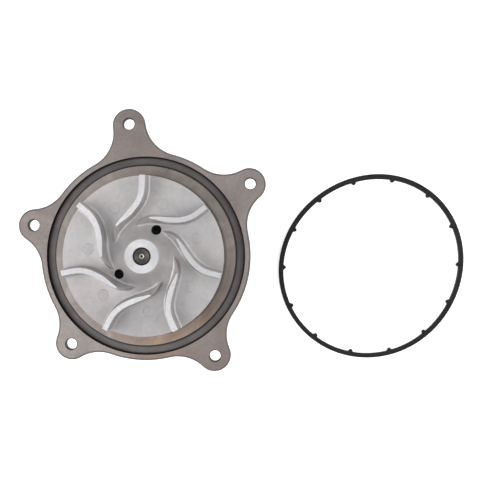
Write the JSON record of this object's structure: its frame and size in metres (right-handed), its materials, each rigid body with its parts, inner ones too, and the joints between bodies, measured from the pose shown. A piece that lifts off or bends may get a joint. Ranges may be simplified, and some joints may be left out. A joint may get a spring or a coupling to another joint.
{
  "type": "engine water pump",
  "caption": "Flanged engine coolant pump with bolt ears, an open vaned impeller, a shaft bearing, a mechanical seal and a pulley hub, with its loose flange seal ring beside it.",
  "frame": {"origin": "on the shaft's axis, at the shaft's front end, which is flush with the pulley hub's front face", "axes": "+Z along the shaft from the pulley hub to the impeller, +X towards the loose seal ring, +Y towards the longest bolt ear"},
  "size_m": [0.3543, 0.2031, 0.0875],
  "materials": {
    "cast_iron": "blasted casting with machined faces",
    "cast_aluminium": "blasted die casting",
    "ground_steel": "ground, dark",
    "machined_steel": "turned",
    "bearing_steel": "polished",
    "pressed_steel": "pressed sheet",
    "black_rubber": "matt moulded",
    "carbon": "lapped carbon graphite",
    "ceramic": "lapped ceramic",
    "cage_plastic": "moulded"
  },
  "bodies": {
    "housing": {"pump_housing": "cast_iron", "bearing_outer_ring": "bearing_steel", "bearing_seal_front": "black_rubber", "bearing_seal_rear": "black_rubber", "bearing_snap_ring": "ground_steel", "seal_cup": "pressed_steel", "seal_bellows": "black_rubber", "seal_spring": "ground_steel", "spring_retainer": "pressed_steel", "carbon_face_ring": "carbon"},
    "rotor": {"pump_shaft": "ground_steel", "impeller": "cast_aluminium", "pulley_hub": "machined_steel", "slinger_ring": "pressed_steel", "ceramic_seat_ring": "ceramic", "seat_ring_boot": "black_rubber"},
    "ball_row": {"ball_cage": "cage_plastic", "bearing_ball_1": "bearing_steel", "bearing_ball_2": "bearing_steel", "bearing_ball_3": "bearing_steel", "bearing_ball_4": "bearing_steel", "bearing_ball_5": "bearing_steel", "bearing_ball_6": "bearing_steel", "bearing_ball_7": "bearing_steel", "bearing_ball_8": "bearing_steel"},
    "roller_row": {"roller_cage": "cage_plastic", "bearing_roller_1": "bearing_steel", "bearing_roller_2": "bearing_steel", "bearing_roller_3": "bearing_steel", "bearing_roller_4": "bearing_steel", "bearing_roller_5": "bearing_steel", "bearing_roller_6": "bearing_steel", "bearing_roller_7": "bearing_steel", "bearing_roller_8": "bearing_steel", "bearing_roller_9": "bearing_steel", "bearing_roller_10": "bearing_steel"},
    "seal_ring": {"flange_seal_ring": "black_rubber"}
  },
  "joints": [
    {"name": "rotor_spin", "type": "hinge", "parent": "housing", "child": "rotor", "pos_m": [0, 0, 0], "axis": [0, 0, 1], "continuous": true},
    {"name": "ball_row_turn", "type": "hinge", "parent": "housing", "child": "ball_row", "pos_m": [0, 0, 0.038], "axis": [0, 0, 1], "continuous": true},
    {"name": "roller_row_turn", "type": "hinge", "parent": "housing", "child": "roller_row", "pos_m": [0, 0, 0.024], "axis": [0, 0, 1], "continuous": true},
    {"name": "ring_lift", "type": "slide", "parent": "housing", "child": "seal_ring", "axis": [0, 0, 1], "range_m": [0, 0.1]}
  ],
  "couplings": [
    {"joint": "ball_row_turn", "follows": "rotor_spin", "ratio": 0.3532},
    {"joint": "roller_row_turn", "follows": "rotor_spin", "ratio": 0.3952}
  ]
}
